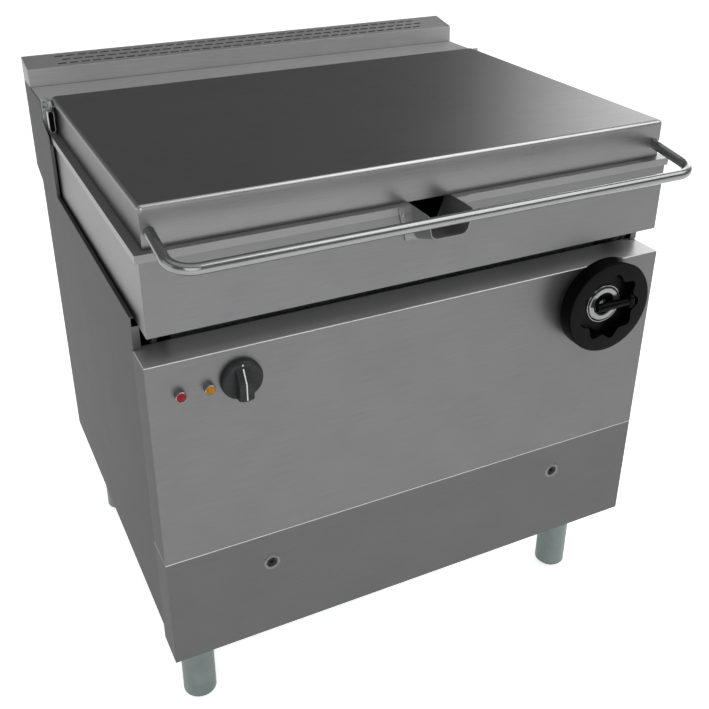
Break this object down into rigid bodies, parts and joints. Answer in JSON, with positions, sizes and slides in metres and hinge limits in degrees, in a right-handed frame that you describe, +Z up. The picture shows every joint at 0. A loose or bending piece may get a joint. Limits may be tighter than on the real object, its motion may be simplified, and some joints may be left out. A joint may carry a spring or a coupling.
{
  "type": "tilting bratt pan",
  "caption": "Floor-standing tilting bratt pan with hinged lid, pouring lip, crank handwheel, rear flue and adjustable feet.",
  "frame": {"origin": "on the floor, under the middle of the bounding box", "axes": "+Z up, -Y towards the user at the front, +X to the right as seen from the front"},
  "size_m": [0.9, 0.858, 1.015],
  "materials": {
    "stainless_panel": "brushed sheet",
    "stainless_vessel": "ground sheet",
    "galvanised": "zinc-coated sheet",
    "painted_leg": "satin grey",
    "black_plastic": "moulded, satin",
    "grey_plastic": "moulded, matt",
    "white_print": "matt",
    "chrome_trim": "plated",
    "red_lens": "clear coloured",
    "amber_lens": "clear coloured",
    "polished_bar": "polished",
    "machined_steel": "machined",
    "frame_steel": "primed",
    "bronze": "machined",
    "element_sheath": "heat-tinted",
    "insulation_board": "fibre",
    "rubber_pad": "matt"
  },
  "bodies": {
    "cabinet": {"side_panel_left": "stainless_panel", "side_panel_right": "stainless_panel", "back_panel": "galvanised", "base_tray": "galvanised", "rear_column": "stainless_panel", "flue_cover": "stainless_panel", "flue_grille": "stainless_panel", "control_panel": "stainless_panel", "lower_panel": "stainless_panel", "panel_rail": "galvanised", "support_beam": "galvanised", "leg_collars": "painted_leg", "pan_rest_pads": "rubber_pad", "cup_washers": "chrome_trim", "panel_screws": "frame_steel", "light_bezels": "chrome_trim", "lens_red": "red_lens", "lens_amber": "amber_lens", "thermostat": "white_print", "contactor": "black_plastic", "terminal_block": "white_print", "cable_gland": "black_plastic", "pivot_bracket_left": "frame_steel", "drive_frame": "frame_steel", "pivot_pins": "machined_steel", "shaft_bushes": "bronze"},
    "adjuster_front_left": {"foot_front_left": "painted_leg"},
    "adjuster_front_right": {"foot_front_right": "painted_leg"},
    "adjuster_rear_left": {"foot_rear_left": "painted_leg"},
    "adjuster_rear_right": {"foot_rear_right": "painted_leg"},
    "knob": {"control_knob": "grey_plastic", "knob_pointer": "white_print"},
    "wheel": {"handwheel": "black_plastic", "hub_ring": "chrome_trim", "handwheel_shaft": "machined_steel", "input_gear": "machined_steel", "crank_pin": "chrome_trim"},
    "crank": {"crank_knuckle": "chrome_trim", "crank_grip": "black_plastic"},
    "worm_unit": {"worm": "machined_steel", "worm_gear": "machined_steel"},
    "pinion_unit": {"worm_wheel": "bronze", "pinion": "machined_steel", "pinion_shaft": "machined_steel"},
    "pan": {"pan_vessel": "stainless_vessel", "pan_base_plate": "frame_steel", "pan_casing": "stainless_panel", "pouring_lip": "stainless_vessel", "lip_rivets": "stainless_vessel", "heating_elements": "element_sheath", "insulation": "insulation_board", "element_tray": "galvanised", "gear_quadrant": "machined_steel", "pivot_lug_left": "frame_steel", "pivot_bushes": "bronze", "lid_brackets": "galvanised"},
    "lid": {"lid_skin": "stainless_panel", "lid_liner": "stainless_vessel", "lid_handle": "polished_bar", "lid_shaft": "polished_bar"}
  },
  "joints": [
    {"name": "pan_tilt", "type": "hinge", "parent": "cabinet", "child": "pan", "pos_m": [0, -0.302, 0.806], "axis": [1, 0, 0], "range_deg": [0, 75]},
    {"name": "pinion_spin", "type": "hinge", "parent": "cabinet", "child": "pinion_unit", "pos_m": [0.413, -0.12257, 0.757], "axis": [1, 0, 0], "range_deg": [-314, 0]},
    {"name": "worm_spin", "type": "hinge", "parent": "cabinet", "child": "worm_unit", "pos_m": [0.406, -0.186, 0.707], "axis": [0, 1, 0], "range_deg": [-7505, 0]},
    {"name": "handwheel_spin", "type": "hinge", "parent": "cabinet", "child": "wheel", "pos_m": [0.32395, -0.336, 0.689], "axis": [0, 1, 0], "range_deg": [0, 5233]},
    {"name": "grip_fold", "type": "hinge", "parent": "wheel", "child": "crank", "pos_m": [0.37395, -0.3715, 0.689], "axis": [0, 0, 1], "range_deg": [0, 90]},
    {"name": "lid_hinge", "type": "hinge", "parent": "pan", "child": "lid", "pos_m": [0, 0.244, 0.9655], "axis": [-1, 0, 0], "range_deg": [0, 90]},
    {"name": "knob_turn", "type": "hinge", "parent": "cabinet", "child": "knob", "pos_m": [-0.312, -0.336, 0.702], "axis": [0, 1, 0], "range_deg": [0, 300]},
    {"name": "front_left_adjust", "type": "hinge", "parent": "cabinet", "child": "adjuster_front_left", "pos_m": [-0.388, -0.231, 0.095], "axis": [0, 0, 1], "continuous": true},
    {"name": "front_right_adjust", "type": "hinge", "parent": "cabinet", "child": "adjuster_front_right", "pos_m": [0.388, -0.231, 0.095], "axis": [0, 0, 1], "continuous": true},
    {"name": "rear_left_adjust", "type": "hinge", "parent": "cabinet", "child": "adjuster_rear_left", "pos_m": [-0.388, 0.3465, 0.095], "axis": [0, 0, 1], "continuous": true},
    {"name": "rear_right_adjust", "type": "hinge", "parent": "cabinet", "child": "adjuster_rear_right", "pos_m": [0.388, 0.3465, 0.095], "axis": [0, 0, 1], "continuous": true}
  ],
  "couplings": [
    {"joint": "pinion_spin", "follows": "pan_tilt", "ratio": -4.1667},
    {"joint": "worm_spin", "follows": "pan_tilt", "ratio": -100},
    {"joint": "handwheel_spin", "follows": "pan_tilt", "ratio": 69.697}
  ]
}
